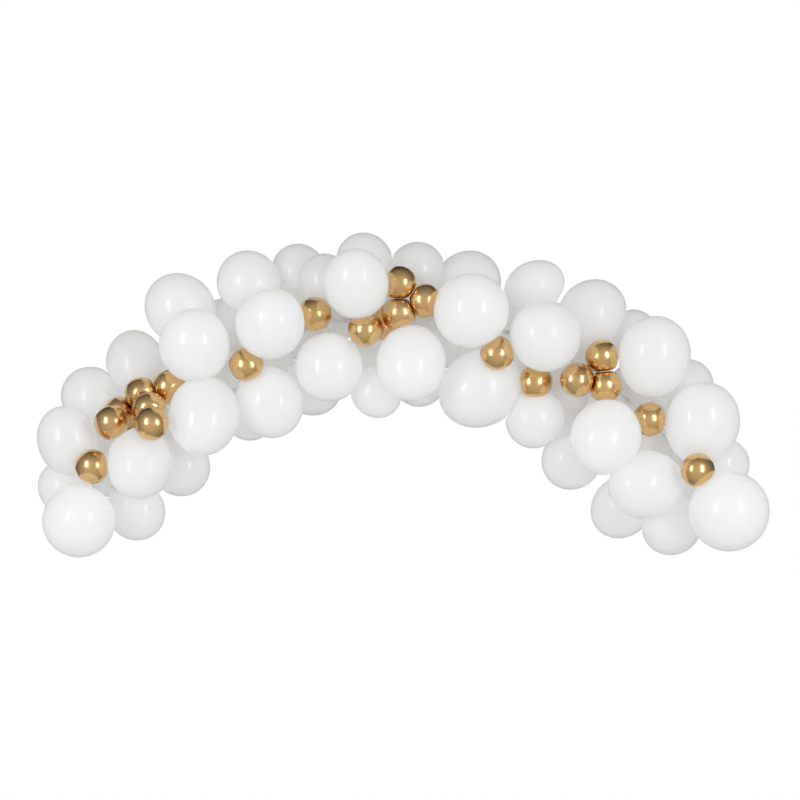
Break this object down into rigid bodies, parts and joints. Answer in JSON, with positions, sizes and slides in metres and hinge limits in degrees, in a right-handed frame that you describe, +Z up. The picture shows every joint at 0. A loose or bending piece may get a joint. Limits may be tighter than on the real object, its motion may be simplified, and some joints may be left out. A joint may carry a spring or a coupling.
{
  "type": "balloon garland",
  "caption": "Arched garland of white latex balloons in several sizes, with small gold balloons in the hollows between them, tied along a clear strip and hung by its crown.",
  "frame": {"origin": "on the upper face of the strip at the crown of the arch, where the garland hangs", "axes": "+X to the right along the garland, +Z up, the front faces -Y"},
  "size_m": [2.0116, 0.4134, 0.8925],
  "materials": {
    "white_latex": "glossy, slightly see-through latex, thicker and whiter at the neck",
    "gold_latex": "metallic gold latex with a mirror-like satin shine",
    "clear_strip": "clear flexible plastic"
  },
  "bodies": {
    "root": {"balloon_strip": "clear_strip", "white_front_01": "white_latex", "white_front_02": "white_latex", "white_front_03": "white_latex", "white_front_04": "white_latex", "white_front_05": "white_latex", "white_front_06": "white_latex", "white_front_07": "white_latex", "white_front_08": "white_latex", "white_front_09": "white_latex", "white_front_10": "white_latex", "white_front_11": "white_latex", "white_front_12": "white_latex", "white_front_13": "white_latex", "white_front_14": "white_latex", "white_front_15": "white_latex", "white_front_16": "white_latex", "white_front_17": "white_latex", "white_front_18": "white_latex", "white_front_19": "white_latex", "white_back_01": "white_latex", "white_back_02": "white_latex", "white_back_03": "white_latex", "white_back_04": "white_latex", "white_back_05": "white_latex", "white_back_06": "white_latex", "white_back_07": "white_latex", "white_back_08": "white_latex", "white_back_09": "white_latex", "white_back_10": "white_latex", "white_back_11": "white_latex", "white_back_12": "white_latex", "white_back_13": "white_latex", "white_back_14": "white_latex", "white_back_15": "white_latex", "white_back_16": "white_latex", "white_back_17": "white_latex", "white_back_18": "white_latex", "white_back_19": "white_latex", "white_back_20": "white_latex", "white_back_21": "white_latex", "gold_01": "gold_latex", "gold_02": "gold_latex", "gold_03": "gold_latex", "gold_04": "gold_latex", "gold_05": "gold_latex", "gold_06": "gold_latex", "gold_07": "gold_latex", "gold_08": "gold_latex", "gold_09": "gold_latex", "gold_10": "gold_latex", "gold_11": "gold_latex", "gold_12": "gold_latex", "gold_13": "gold_latex", "gold_14": "gold_latex", "gold_15": "gold_latex", "gold_16": "gold_latex", "gold_17": "gold_latex", "gold_18": "gold_latex", "gold_19": "gold_latex"}
  },
  "joints": []
}
